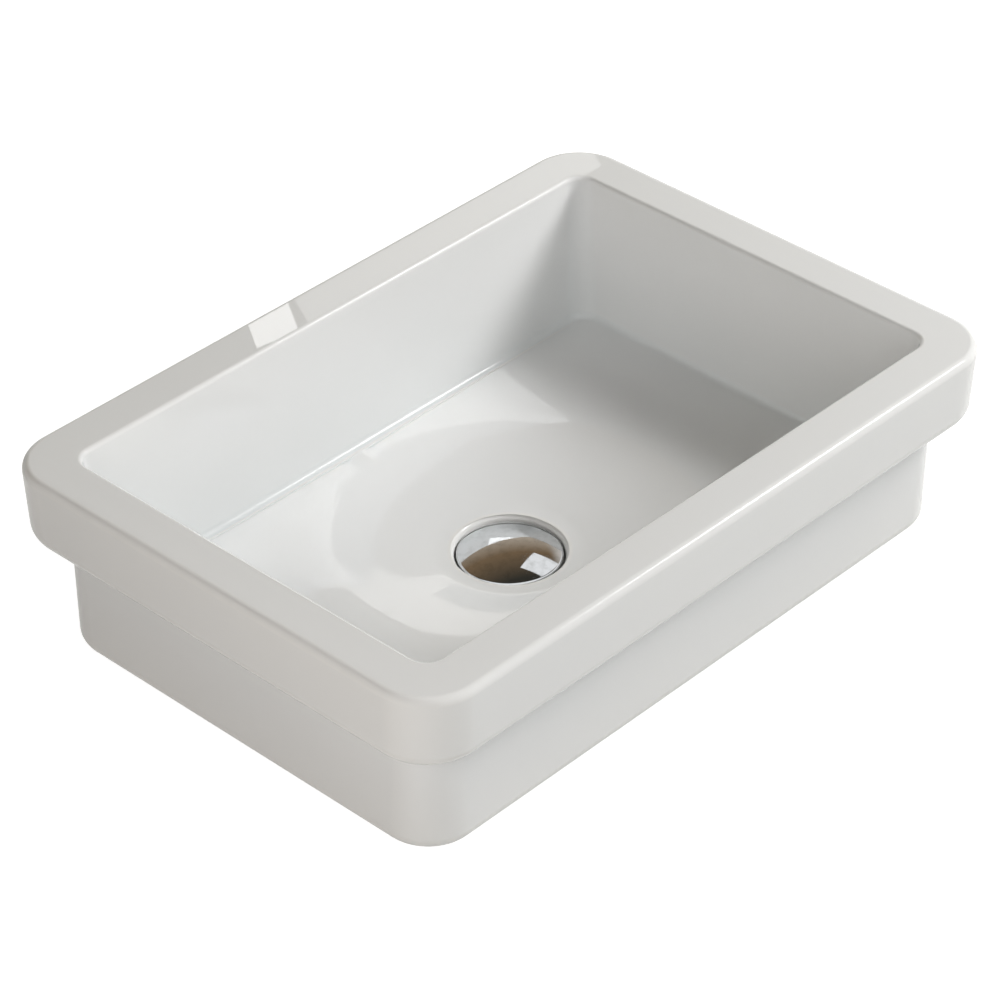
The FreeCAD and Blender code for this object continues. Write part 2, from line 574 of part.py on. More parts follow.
# Cartridge: sleeve with its stud, locknut, gland with its seal, ball cage, balls and spring
def make_cartridge():
    sleeve = new_body("core_sleeve")
    turn(sleeve, "Revolution", "tube_and_stud", [
        ("0", stud_under), ("dim.stud_radius", stud_under), ("dim.stud_radius", sleeve_under),
        (sleeve_radius, sleeve_under), (sleeve_radius, sleeve_top), (race_radius, sleeve_top),
        (race_radius, cage_shelf), (sleeve_bore, cage_shelf), (sleeve_bore, sleeve_inside),
        ("0", sleeve_inside)])
    hexagon_nut("core_locknut", "dim.lock_flats", stud_clear, bridge_top, lock_top)

    gland = new_body("core_gland")
    hexagon(gland, "head", "dim.gland_flats", sleeve_top, gland_top, ((gland_top, "-"),))
    nose = f"({race_radius} - dim.thread_gap)"
    turn(gland, "Revolution", "nose", [("0", gland_under), (nose, gland_under), (nose, gland_top), ("0", gland_top)])
    groove_radius = f"({wiper_circle} + dim.wiper_wire + dim.wiper_play)"
    groove_half = "(dim.wiper_wire + dim.wiper_play)"
    bore_through(gland, "bore", gland_bore, gland_under, gland_top)
    groove_low = f"{wiper_level} - {groove_half}"
    groove_high = f"{wiper_level} + {groove_half}"
    turn(gland, "Groove", "seal_groove", [("0", groove_low), (groove_radius, groove_low),
                                          (groove_radius, groove_high), ("0", groove_high)])

    wiper = doc.addObject("Part::Torus", "gland_seal")
    wiper.Label = "gland_seal"
    wiper.setExpression("Radius1", wiper_circle)
    wiper.setExpression("Radius2", "dim.wiper_wire")
    wiper.setExpression("Placement.Base.z", wiper_level)

    cage = ring("ball_cage", "dim.rod_radius + dim.cage_gap", f"{race_radius} - dim.run_gap", cage_under, cage_top)
    eye_plan = add_sketch(cage, "eye_plan", "YZ_Plane", None)
    eye = eye_plan.addGeometry(Part.Circle(FreeCAD.Vector(0, number(ball_level), 0), FreeCAD.Vector(0, 0, 1),
                                           number("dim.ball_radius")), False)
    eye_plan.addConstraint(Sketcher.Constraint("PointOnObject", eye, 3, -2))
    bind(eye_plan, "rise", "DistanceY", (-1, 1, eye, 3), ball_level)
    bind(eye_plan, "eye", "Radius", (eye,), "dim.ball_radius + dim.ball_gap")
    hole = cage.newObject("PartDesign::Pocket", "eye")
    hole.Profile = eye_plan
    hole.Reversed = True
    hole.setExpression("Length", sleeve_radius)
    doc.recompute()
    upright = next(item for item in cage.Origin.OriginFeatures if item.Role == "Z_Axis")
    repeat(cage, "eyes", hole, (upright, [""]), cam_count)

    balls = []
    for index in range(cam_count):
        ball = doc.addObject("Part::Sphere", f"ball_{index + 1}")
        ball.setExpression("Radius", "dim.ball_radius")
        angle = f"{index * 360 / cam_count} deg"
        ball.setExpression("Placement.Base.x", f"{ball_circle} * cos({angle})")
        ball.setExpression("Placement.Base.y", f"{ball_circle} * sin({angle})")
        ball.setExpression("Placement.Base.z", ball_level)
        balls.append(ball)
    group = doc.addObject("Part::MultiFuse", "cam_balls")
    group.Label = "cam_balls"
    group.Shapes = balls
    doc.recompute()


# Spring: one wire swept along short arcs of a helix
def make_spring():
    wire_radius = number("dim.spring_wire / 2")
    radius = number("dim.rod_radius + dim.spring_step")
    low = number(f"{sleeve_inside} + dim.spring_play") + wire_radius
    high = number(f"{foot_under} - dim.spring_play") - wire_radius
    count = round(number("dim.spring_turns") * turn_steps)

    def point(step):
        angle = 2 * math.pi * step / turn_steps
        return FreeCAD.Vector(radius * math.cos(angle), radius * math.sin(angle), low + (high - low) * step / count)

    arcs = [Part.Arc(point(step), point(step + 0.5), point(step + 1)).toShape() for step in range(count)]
    path = Part.Wire(arcs)
    first = arcs[0]
    section = Part.Wire(Part.makeCircle(wire_radius, point(0), first.tangentAt(first.FirstParameter)))
    shell = Part.BRepOffsetAPI.MakePipeShell(path)
    shell.add(section)
    shell.build()
    shell.makeSolid()
    spring = doc.addObject("Part::Feature", "core_spring")
    spring.Label = "core_spring"
    spring.Shape = shell.shape()


make_basin()
make_waste_body()
make_clamp()
make_tail()
make_plug()
make_cam_rod()
make_cartridge()
make_spring()
doc.recompute()

nodes = ["basin_bowl", "waste_body", "flange_seal", "cone_washer", "slip_washer", "back_nut", "tail_pipe",
         "tail_seal", "union_nut", "plug_cap", "plug_carrier", "plug_seal", "cam_rod", "core_sleeve",
         "core_locknut", "core_gland", "gland_seal", "ball_cage", "cam_balls", "core_spring"]
for item in doc.Objects:
    if "Invalid" in item.State or "Error" in item.State:
        raise RuntimeError(f"{item.Name} did not build: {item.State}")
os.makedirs("parts", exist_ok=True)
for label in nodes:
    shape = doc.getObjectsByLabel(label)[0].Shape
    if shape.isNull() or not shape.isValid() or not shape.Solids:
        raise RuntimeError(f"{label} is not a sound solid")
    print(f"{label:14s} {len(shape.Solids)} solid, {shape.Volume / 1000:.2f} cm3, box {shape.BoundBox}")
    shape.exportStep(f"parts/{label}.step")
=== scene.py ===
import bpy
import bmesh
import math
from mathutils import Matrix, Vector


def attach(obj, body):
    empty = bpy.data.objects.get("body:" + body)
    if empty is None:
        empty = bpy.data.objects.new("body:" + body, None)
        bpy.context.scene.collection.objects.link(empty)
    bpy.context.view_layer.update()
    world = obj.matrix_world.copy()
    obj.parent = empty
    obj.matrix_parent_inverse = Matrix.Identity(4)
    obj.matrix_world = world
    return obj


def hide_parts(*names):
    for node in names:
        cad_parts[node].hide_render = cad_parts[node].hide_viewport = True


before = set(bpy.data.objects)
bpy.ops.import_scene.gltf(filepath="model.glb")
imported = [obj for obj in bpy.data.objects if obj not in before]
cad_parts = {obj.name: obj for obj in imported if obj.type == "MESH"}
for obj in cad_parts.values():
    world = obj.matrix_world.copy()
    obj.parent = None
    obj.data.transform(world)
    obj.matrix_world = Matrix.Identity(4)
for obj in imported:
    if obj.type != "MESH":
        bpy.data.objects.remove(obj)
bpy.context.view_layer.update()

mm = 0.001


def linearColour(hexCode):  # sRGB hex to linear
    parts = [int(hexCode[i:i + 2], 16) / 255 for i in (1, 3, 5)]
    return [c / 12.92 if c < 0.04045 else ((c + 0.055) / 1.055) ** 2.4 for c in parts] + [1]


def perMetre(size):  # texture scale that gives features of this many mm
    return 1 / (size * mm)


def wavesPerMetre(size):  # wave texture scale that gives lines this many mm apart
    return math.pi / 10 * perMetre(size)


def addNode(tree, kind, settings={}, links={}):
    node = tree.nodes.new(kind)
    for name, value in settings.items():
        if name == "stops":
            ramp = node.color_ramp
            while len(ramp.elements) < len(value):
                ramp.elements.new(1)
            for stop, (place, colour) in zip(ramp.elements, value):
                stop.position = place
                stop.color = linearColour(colour)
        elif isinstance(name, int) or name in node.inputs.keys():
            node.inputs[name].default_value = value
        else:
            setattr(node, name, value)
    for name, source in links.items():
        tree.links.new(source, node.inputs[name])
    return node


def startMaterial(name):
    material = bpy.data.materials.new(name)
    material.use_nodes = True
    tree = material.node_tree
    tree.nodes.clear()
    place = addNode(tree, "ShaderNodeTexCoord").outputs["Object"]
    return material, tree, place


# In every look, tones are colours along a noise, Mm is the width of a feature and High its height in mm

# Vitreous china under a clear fired glaze: white with a breath of grey, mirror skin with slow waves
# from the cast wall and a fine orange peel; the glaze runs thin and warm on edges, pools cool in hollows
chinaLook = {
    "tones": [(0.15, "#F2F1EE"), (0.5, "#F0F0EF"), (0.9, "#E9ECEC")],  # thin, flat, pooled
    "cloudMm": 90, "cloudShare": 0.16, "waveMm": 75, "waveHigh": 0.25, "peelMm": 2.6, "peelHigh": 0.002,
    "gloss": {"From Min": 0.3, "From Max": 0.7, "To Min": 0.025, "To Max": 0.05}, "ior": 1.52,
}


def glazedChina():
    material, tree, place = startMaterial("vitreousChinaGlazed")
    pool = addNode(tree, "ShaderNodeAttribute", {"attribute_name": "glazePool"}).outputs["Fac"]
    cloud = addNode(tree, "ShaderNodeTexNoise", {"Scale": perMetre(chinaLook["cloudMm"]), "Detail": 3.0},
                    {"Vector": place}).outputs["Fac"]
    depth = addNode(tree, "ShaderNodeMath", {"operation": "MULTIPLY_ADD", 1: chinaLook["cloudShare"]},
                    {0: cloud, 2: pool})
    depth = addNode(tree, "ShaderNodeMath", {"operation": "SUBTRACT", 1: chinaLook["cloudShare"] / 2},
                    {0: depth.outputs[0]})
    colour = addNode(tree, "ShaderNodeValToRGB", {"stops": chinaLook["tones"]}, {"Fac": depth.outputs[0]})
    wave = addNode(tree, "ShaderNodeTexNoise", {"Scale": perMetre(chinaLook["waveMm"]), "Detail": 1.0},
                   {"Vector": place}).outputs["Fac"]
    peel = addNode(tree, "ShaderNodeTexNoise", {"Scale": perMetre(chinaLook["peelMm"]), "Detail": 2.0},
                   {"Vector": place}).outputs["Fac"]
    slow = addNode(tree, "ShaderNodeBump", {"Strength": 1.0, "Distance": chinaLook["waveHigh"] * mm},
                   {"Height": wave})
    skin = addNode(tree, "ShaderNodeBump", {"Strength": 1.0, "Distance": chinaLook["peelHigh"] * mm},
                   {"Height": peel, "Normal": slow.outputs["Normal"]})
    gloss = addNode(tree, "ShaderNodeMapRange", chinaLook["gloss"], {"Value": cloud})
    shader = addNode(tree, "ShaderNodeBsdfPrincipled", {"IOR": chinaLook["ior"]},
                     {"Base Color": colour.outputs["Color"], "Roughness": gloss.outputs["Result"],
                      "Normal": skin.outputs["Normal"]})
    addNode(tree, "ShaderNodeOutputMaterial", {}, {"Surface": shader.outputs["BSDF"]})
    return material


# The same body where the kiln shelf touched it: no glaze, chalky cream with a sandy tooth
bisqueLook = {
    "tones": [(0.45, "#D9D0BF"), (0.7, "#E7E1D4"), (0.9, "#EEEAE0")],
    "sandMm": 0.8, "sandHigh": 0.12, "sandShare": 0.35, "stainMm": 22, "rough": 0.82, "ior": 1.5,
}


def bareChina():
    material, tree, place = startMaterial("vitreousChinaUnglazed")
    sand = addNode(tree, "ShaderNodeTexNoise", {"Scale": perMetre(bisqueLook["sandMm"]), "Detail": 4.0},
                   {"Vector": place}).outputs["Fac"]
    stain = addNode(tree, "ShaderNodeTexNoise", {"Scale": perMetre(bisqueLook["stainMm"]), "Detail": 4.0},
                    {"Vector": place}).outputs["Fac"]
    tone = addNode(tree, "ShaderNodeMath", {"operation": "MULTIPLY_ADD", 1: bisqueLook["sandShare"]},
                   {0: sand, 2: stain})
    colour = addNode(tree, "ShaderNodeValToRGB", {"stops": bisqueLook["tones"]}, {"Fac": tone.outputs[0]})
    tooth = addNode(tree, "ShaderNodeBump", {"Strength": 0.7, "Distance": bisqueLook["sandHigh"] * mm},
                    {"Height": sand})
    shader = addNode(tree, "ShaderNodeBsdfPrincipled",
                     {"Roughness": bisqueLook["rough"], "IOR": bisqueLook["ior"]},
                     {"Base Color": colour.outputs["Color"], "Normal": tooth.outputs["Normal"]})
    addNode(tree, "ShaderNodeOutputMaterial", {}, {"Surface": shader.outputs["BSDF"]})
    return material


# Bright chrome on buffed brass: a cool mirror, dulled a little where water dried on it,
# with hair-fine buffing rings round the drain axis (drawn at 0.7 mm so that they show)
chromeLook = {
    "tones": [(0.45, "#DADCDE"), (0.75, "#C9CBCC")],  # bright, dull
    "spotMm": 5, "buffMm": 0.7, "buffHigh": 0.001,
    "haze": {"From Min": 0.5, "From Max": 0.75, "To Min": 0.03, "To Max": 0.1},
}


def chromePlate():
    material, tree, place = startMaterial("chromePlatedBrass")
    spot = addNode(tree, "ShaderNodeTexNoise", {"Scale": perMetre(chromeLook["spotMm"]), "Detail": 3.0},
                   {"Vector": place}).outputs["Fac"]
    buff = addNode(tree, "ShaderNodeTexWave",
                   {"wave_type": "RINGS", "rings_direction": "Z", "Distortion": 1.5,
                    "Scale": wavesPerMetre(chromeLook["buffMm"]), "Detail": 2.0},
                   {"Vector": place}).outputs["Fac"]
    colour = addNode(tree, "ShaderNodeValToRGB", {"stops": chromeLook["tones"]}, {"Fac": spot})
    haze = addNode(tree, "ShaderNodeMapRange", chromeLook["haze"], {"Value": spot})
    rings = addNode(tree, "ShaderNodeBump", {"Strength": 0.3, "Distance": chromeLook["buffHigh"] * mm},
                    {"Height": buff})
    shader = addNode(tree, "ShaderNodeBsdfPrincipled", {"Metallic": 1.0},
                     {"Base Color": colour.outputs["Color"], "Roughness": haze.outputs["Result"],
                      "Normal": rings.outputs["Normal"]})
    addNode(tree, "ShaderNodeOutputMaterial", {}, {"Surface": shader.outputs["BSDF"]})
    return material


# Free-cutting brass as it leaves the lathe: warm yellow, feed lines 0.35 mm apart round the axis on
# sides and ends alike, browner where hands and damp have tarnished it
brassLook = {
    "tones": [(0.42, "#D2B26A"), (0.72, "#A98747")],  # fresh, worn
    "feedMm": 0.35, "feedHigh": 0.01, "tarnishMm": 14,
    "dull": {"From Min": 0.35, "From Max": 0.75, "To Min": 0.2, "To Max": 0.42},
}


def turnedBrass():
    material, tree, place = startMaterial("turnedBrass")
    parts = addNode(tree, "ShaderNodeSeparateXYZ", {}, {"Vector": place})
    flat = addNode(tree, "ShaderNodeCombineXYZ", {}, {"X": parts.outputs["X"], "Y": parts.outputs["Y"]})
    reach = addNode(tree, "ShaderNodeVectorMath", {"operation": "LENGTH"}, {0: flat.outputs["Vector"]})
    feed = addNode(tree, "ShaderNodeMath", {"operation": "ADD"},
                   {0: reach.outputs["Value"], 1: parts.outputs["Z"]})
    along = addNode(tree, "ShaderNodeCombineXYZ", {}, {"X": feed.outputs[0]})
    lines = addNode(tree, "ShaderNodeTexWave",
                    {"bands_direction": "X", "Distortion": 0.0, "Scale": wavesPerMetre(brassLook["feedMm"])},
                    {"Vector": along.outputs["Vector"]}).outputs["Fac"]
    tarnish = addNode(tree, "ShaderNodeTexNoise", {"Scale": perMetre(brassLook["tarnishMm"]), "Detail": 5.0},
                      {"Vector": place}).outputs["Fac"]
    colour = addNode(tree, "ShaderNodeValToRGB", {"stops": brassLook["tones"]}, {"Fac": tarnish})
    dull = addNode(tree, "ShaderNodeMapRange", brassLook["dull"], {"Value": tarnish})
    cut = addNode(tree, "ShaderNodeBump", {"Strength": 0.5, "Distance": brassLook["feedHigh"] * mm},
                  {"Height": lines})
    shader = addNode(tree, "ShaderNodeBsdfPrincipled", {"Metallic": 1.0},
                     {"Base Color": colour.outputs["Color"], "Roughness": dull.outputs["Result"],
                      "Normal": cut.outputs["Normal"]})
    addNode(tree, "ShaderNodeOutputMaterial", {}, {"Surface": shader.outputs["BSDF"]})
    return material


# Pressed synthetic rubber: near black, satin, with a grey bloom in patches and a fine mould grain
rubberLook = {
    "tones": [(0.4, "#18181A"), (0.75, "#2E2E2F")], "bloomMm": 9, "grainMm": 0.5, "grainHigh": 0.03,
    "satin": {"From Min": 0.3, "From Max": 0.75, "To Min": 0.45, "To Max": 0.72}, "ior": 1.52,
}


def mouldedRubber():
    material, tree, place = startMaterial("mouldedRubber")
    bloom = addNode(tree, "ShaderNodeTexNoise", {"Scale": perMetre(rubberLook["bloomMm"]), "Detail": 4.0},
                    {"Vector": place}).outputs["Fac"]
    grain = addNode(tree, "ShaderNodeTexNoise", {"Scale": perMetre(rubberLook["grainMm"]), "Detail": 2.0},
                    {"Vector": place}).outputs["Fac"]
    colour = addNode(tree, "ShaderNodeValToRGB", {"stops": rubberLook["tones"]}, {"Fac": bloom})
    satin = addNode(tree, "ShaderNodeMapRange", rubberLook["satin"], {"Value": bloom})
    pressed = addNode(tree, "ShaderNodeBump", {"Strength": 0.4, "Distance": rubberLook["grainHigh"] * mm},
                      {"Height": grain})
    shader = addNode(tree, "ShaderNodeBsdfPrincipled", {"IOR": rubberLook["ior"]},
                     {"Base Color": colour.outputs["Color"], "Roughness": satin.outputs["Result"],
                      "Normal": pressed.outputs["Normal"]})
    addNode(tree, "ShaderNodeOutputMaterial", {}, {"Surface": shader.outputs["BSDF"]})
    return material


# Natural nylon as moulded: milky white that lets some light in, with faint flow clouds
nylonLook = {
    "tones": [(0.35, "#DDD9CC"), (0.7, "#EAE7DD")], "flowMm": 7, "skinMm": 0.7, "skinHigh": 0.02,
    "rough": 0.42, "ior": 1.53, "milk": 0.2, "milkMm": 1.5,
}


def mouldedNylon():
    material, tree, place = startMaterial("mouldedNylonNatural")
    flow = addNode(tree, "ShaderNodeTexNoise",
                   {"Scale": perMetre(nylonLook["flowMm"]), "Detail": 3.0, "Distortion": 1.2},
                   {"Vector": place}).outputs["Fac"]
    skin = addNode(tree, "ShaderNodeTexNoise", {"Scale": perMetre(nylonLook["skinMm"]), "Detail": 2.0},
                   {"Vector": place}).outputs["Fac"]
    colour = addNode(tree, "ShaderNodeValToRGB", {"stops": nylonLook["tones"]}, {"Fac": flow})
    fine = addNode(tree, "ShaderNodeBump", {"Strength": 0.25, "Distance": nylonLook["skinHigh"] * mm},
                   {"Height": skin})
    shader = addNode(tree, "ShaderNodeBsdfPrincipled",
                     {"Roughness": nylonLook["rough"], "IOR": nylonLook["ior"],
                      "Subsurface Weight": nylonLook["milk"], "Subsurface Scale": nylonLook["milkMm"] * mm},
                     {"Base Color": colour.outputs["Color"], "Normal": fine.outputs["Normal"]})
    addNode(tree, "ShaderNodeOutputMaterial", {}, {"Surface": shader.outputs["BSDF"]})
    return material


# Black acetal from a spark-eroded mould: dark grey with an even fine-grained sheen
acetalLook = {
    "tones": [(0.4, "#222325"), (0.7, "#2D2E31")], "sparkMm": 0.45, "sparkHigh": 0.02, "flowMm": 11,
    "sheen": {"From Min": 0.3, "From Max": 0.7, "To Min": 0.34, "To Max": 0.46}, "ior": 1.48,
}


def mouldedAcetal():
    material, tree, place = startMaterial("mouldedAcetalBlack")
    spark = addNode(tree, "ShaderNodeTexNoise", {"Scale": perMetre(acetalLook["sparkMm"]), "Detail": 3.0},
                    {"Vector": place}).outputs["Fac"]
    flow = addNode(tree, "ShaderNodeTexNoise", {"Scale": perMetre(acetalLook["flowMm"]), "Detail": 3.0},
                   {"Vector": place}).outputs["Fac"]
    colour = addNode(tree, "ShaderNodeValToRGB", {"stops": acetalLook["tones"]}, {"Fac": flow})
    sheen = addNode(tree, "ShaderNodeMapRange", acetalLook["sheen"], {"Value": flow})
    tooth = addNode(tree, "ShaderNodeBump", {"Strength": 0.4, "Distance": acetalLook["sparkHigh"] * mm},
                    {"Height": spark})
    shader = addNode(tree, "ShaderNodeBsdfPrincipled", {"IOR": acetalLook["ior"]},
                     {"Base Color": colour.outputs["Color"], "Roughness": sheen.outputs["Result"],
                      "Normal": tooth.outputs["Normal"]})
    addNode(tree, "ShaderNodeOutputMaterial", {}, {"Surface": shader.outputs["BSDF"]})
    return material


# Stainless steel: drawn wire and ground balls, bright grey with a fine scuffed haze
steelLook = {
    "tones": [(0.35, "#A7ABB0"), (0.7, "#C3C6CA")], "scuffMm": 0.6, "scuffHigh": 0.004,
    "haze": {"From Min": 0.3, "From Max": 0.7, "To Min": 0.14, "To Max": 0.3},
}


def brightSteel():
    material, tree, place = startMaterial("stainlessSteelBright")
    scuff = addNode(tree, "ShaderNodeTexNoise",
                    {"Scale": perMetre(steelLook["scuffMm"]), "Detail": 4.0, "Distortion": 0.8},
                    {"Vector": place}).outputs["Fac"]
    colour = addNode(tree, "ShaderNodeValToRGB", {"stops": steelLook["tones"]}, {"Fac": scuff})
    haze = addNode(tree, "ShaderNodeMapRange", steelLook["haze"], {"Value": scuff})
    drawn = addNode(tree, "ShaderNodeBump", {"Strength": 0.2, "Distance": steelLook["scuffHigh"] * mm},
                    {"Height": scuff})
    shader = addNode(tree, "ShaderNodeBsdfPrincipled", {"Metallic": 1.0},
                     {"Base Color": colour.outputs["Color"], "Roughness": haze.outputs["Result"],
                      "Normal": drawn.outputs["Normal"]})
    addNode(tree, "ShaderNodeOutputMaterial", {}, {"Surface": shader.outputs["BSDF"]})
    return material


china = glazedChina()
bisque = bareChina()
chrome = chromePlate()
brass = turnedBrass()
rubber = mouldedRubber()
nylon = mouldedNylon()
acetal = mouldedAcetal()
steel = brightSteel()
print("materials made:", len(bpy.data.materials))

# How every new piece is meshed: points nearer than mergeMm are one, edges past sharpDegrees stay sharp
meshing = {"mergeMm": 0.003, "sharpDegrees": 32, "roundSteps": 4, "ringSteps": 96}


def closedWire(bm, points):  # outline from a few corners
    verts = [bm.verts.new(point) for point in points]
    for pair in zip(verts, verts[1:] + verts[:1]):
        bm.edges.new(pair)
    return verts


def roundOff(bm, kind, geom, width, steps):  # kind is VERTICES or EDGES, width in mm
    bmesh.ops.bevel(bm, geom=geom, offset=width * mm, offset_type="OFFSET", segments=steps, profile=0.5,
                    affect=kind, material=-1)


def spinSection(bm, section, steps):  # section rows: radius, level, edge round; turned round the drain axis
    verts = closedWire(bm, [(radius * mm, 0, level * mm) for radius, level, edgeRound in section])
    for vert, (radius, level, edgeRound) in zip(verts, section):
        if edgeRound:
            roundOff(bm, "VERTICES", [vert], edgeRound, meshing["roundSteps"])
    wire = [edge for edge in bm.edges if edge.is_wire]
    wireVerts = list({vert for edge in wire for vert in edge.verts})
    bmesh.ops.spin(bm, geom=wireVerts + wire, cent=(0, 0, 0), axis=(0, 0, 1), angle=2 * math.pi,
                   steps=steps, use_merge=True)


def placePiece(bm, name, body, slotName, finishes, *nodes):
    bmesh.ops.remove_doubles(bm, verts=bm.verts, dist=meshing["mergeMm"] * mm)
    bmesh.ops.recalc_face_normals(bm, faces=bm.faces)
    mesh = bpy.data.meshes.new(name)
    bm.to_mesh(mesh)
    bm.free()
    mesh.shade_smooth()
    mesh.set_sharp_from_angle(angle=math.radians(meshing["sharpDegrees"]))
    for finish in finishes:
        mesh.materials.append(finish)
    piece = bpy.data.objects.new(name, mesh)
    bpy.context.collection.objects.link(piece)
    even = piece.modifiers.new("evenNormals", "WEIGHTED_NORMAL")
    even.keep_sharp = True
    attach(piece, body)
    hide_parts(*nodes)
    print(f"{name}: {len(mesh.polygons)} faces")
    return piece


# Basin: rings of the plan from the outlet hole under the basin, out over the foot, up the outside,
# over the rim, down the bowl and back to the hole. Round is the width that the edge takes up.
basin = {
    "cornerSteps": 20, "spread": 100, "poolPerBend": 0.7, "bareUnder": 0.3,
    "rings": [  # half length, half width, corner, level, round, round steps
        (22.5, 22.5, 22.45, 1.5, 0.8, 2),  # outlet hole, lower edge
        (46, 46, 45.5, 1.5, 5, 4),  # flat for the washers
        (110, 110, 109.5, 15.5, 8, 4),  # hollow under the pan
        (204, 128, 18, 16.5, 6, 4),  # hollow at the foot ring
        (204, 128, 18, 0, 3, 4),  # foot ring, inner edge
        (230, 154, 32, 0, 9.9, 8),  # foot ring, outer edge
        (229.5, 153.5, 28, 76, 5.6, 6),  # top of the lower body
        (248, 172, 36, 80, 8.8, 8),  # rim band, lower edge
        (249.98, 173.98, 36, 130, 5.4, 8),  # rim, outer edge
        (218, 142, 12, 130, 2.9, 8),  # mouth of the bowl
        (213, 133.5, 14, 29.5, 4.4, 8),  # foot of the bowl's walls
        (117, 117, 116.5, 28.6, 11, 8),  # edge of the pan
        (42, 42, 41.5, 18, 6, 4),  # flat round the drain
        (34, 34, 33.95, 18, 4.9, 8),  # drain recess, upper edge
        (34, 34, 33.95, 8.5, 1, 3),  # drain recess, floor
        (22.5, 22.5, 22.45, 8.5, 0.8, 2),  # outlet hole, upper edge
    ],
}


def makeBasin():
    bm = bmesh.new()
    loops = []
    for index, (halfX, halfY, corner, level, edgeRound, steps) in enumerate(basin["rings"]):
        known = set(bm.edges)  # drawn one above the other, so that the bridges find their way
        corners = closedWire(bm, [(x * halfX * mm, y * halfY * mm, index * basin["spread"] * mm)
                                  for x, y in ((1, 1), (-1, 1), (-1, -1), (1, -1))])
        roundOff(bm, "VERTICES", corners, corner, basin["cornerSteps"])
        loops.append([edge for edge in bm.edges if edge not in known])
    for loop, following in zip(loops, loops[1:] + loops[:1]):
        bmesh.ops.bridge_loops(bm, edges=loop + following)
    for index, loop in enumerate(loops):
        level = basin["rings"][index][3]
        bmesh.ops.translate(bm, verts=list({vert for edge in loop for vert in edge.verts}),
                            vec=(0, 0, (level - index * basin["spread"]) * mm))
    for loop, (halfX, halfY, corner, level, edgeRound, steps) in zip(loops, basin["rings"]):
        roundOff(bm, "EDGES", loop, edgeRound, steps)
    bmesh.ops.recalc_face_normals(bm, faces=bm.faces)
    pool = bm.verts.layers.float.new("glazePool")  # below a half on edges, above it in hollows
    for vert in bm.verts:
        bend = sum(edge.calc_face_angle_signed(0) for edge in vert.link_edges)
        vert[pool] = min(max(0.5 - bend * basin["poolPerBend"], 0), 1)
    for face in bm.faces:
        lowest = max(vert.co.z for vert in face.verts) < basin["bareUnder"] * mm
        face.material_index = 1 if lowest else 0
    return placePiece(bm, "basinShell", "basin", "china", [china, bisque], "basin_bowl")


# Plug cap: shallow dome with an upright lip, hollow below with a ledge for the carrier
cap = {
    "radius": 33, "lipUnder": 13.1, "lipTop": 15.5, "top": 20.8,
    "inside": 31, "ledge": 29, "ledgeLevel": 15.3, "insideTop": 18.8,
    "edgeRound": 1.2, "footRound": 0.5, "insideRound": 0.3, "roundSteps": 6, "domeSteps": 20, "steps": 160,
}


def addDome(bm, radius, rim, top):  # arc from the axis out to the rim, made by turning its top point
    rise = top - rim
    sphere = (radius ** 2 + rise ** 2) / (2 * rise)
    crown = bm.verts.new((0, 0, top * mm))
    made = bmesh.ops.spin(bm, geom=[crown], cent=(0, 0, (top - sphere) * mm), axis=(0, 1, 0),
                          angle=math.asin(radius / sphere), steps=cap["domeSteps"])
    return next(item for item in made["geom_last"] if isinstance(item, bmesh.types.BMVert))


def makeCap():
    bm = bmesh.new()
    shoulder = addDome(bm, cap["radius"], cap["lipTop"], cap["top"])
    innerRim = addDome(bm, cap["ledge"], cap["ledgeLevel"], cap["insideTop"])
    foot = bm.verts.new((cap["radius"] * mm, 0, cap["lipUnder"] * mm))
    inside = bm.verts.new((cap["inside"] * mm, 0, cap["lipUnder"] * mm))
    ledge = bm.verts.new((cap["inside"] * mm, 0, cap["ledgeLevel"] * mm))
    for pair in ((shoulder, foot), (foot, inside), (inside, ledge), (ledge, innerRim)):
        bm.edges.new(pair)
    for vert, width in ((shoulder, "edgeRound"), (foot, "footRound"), (inside, "insideRound")):
        roundOff(bm, "VERTICES", [vert], cap[width], cap["roundSteps"])
    bmesh.ops.spin(bm, geom=bm.verts[:] + bm.edges[:], cent=(0, 0, 0), axis=(0, 0, 1), angle=2 * math.pi,
                   steps=cap["steps"], use_merge=True)
    return placePiece(bm, "capDome", "plug", "chrome", [chrome], "plug_cap")


# Waste: flange over a barrel with a pipe thread, and the three-armed bridge inside that holds the cartridge
waste = {
    "steps": 96, "pitch": 2.309, "crest": 20.93, "root": 19.55, "core": 19.2,
    "threadTop": 4, "threadUnder": -58.5,
    "profile": [("root", 0.08), ("crest", 0.42), ("crest", 0.58), ("root", 0.92)],  # shares of the pitch
    "flange": [(20.5, 12.5, 0.6), (31.5, 12.5, 0.8), (31.5, 10, 0.3), (20.3, 10, 0), (20.3, 3, 0),
               (19.2, 3, 0), (19.2, -58.5, 0), (18.5, -58.5, 0.2), (18.5, 10.5, 0.6)],
    "hub": [(5.1, -49.5, 0.3), (9, -49.5, 0.8), (9, -43.5, 0.8), (5.1, -43.5, 0.3)], "hubSteps": 48,
    "arms": 3, "arm": (14.5, 5, 6), "armMiddle": (12.4, 0, -46.5), "armRound": 0.7, "armRoundSteps": 3,
}


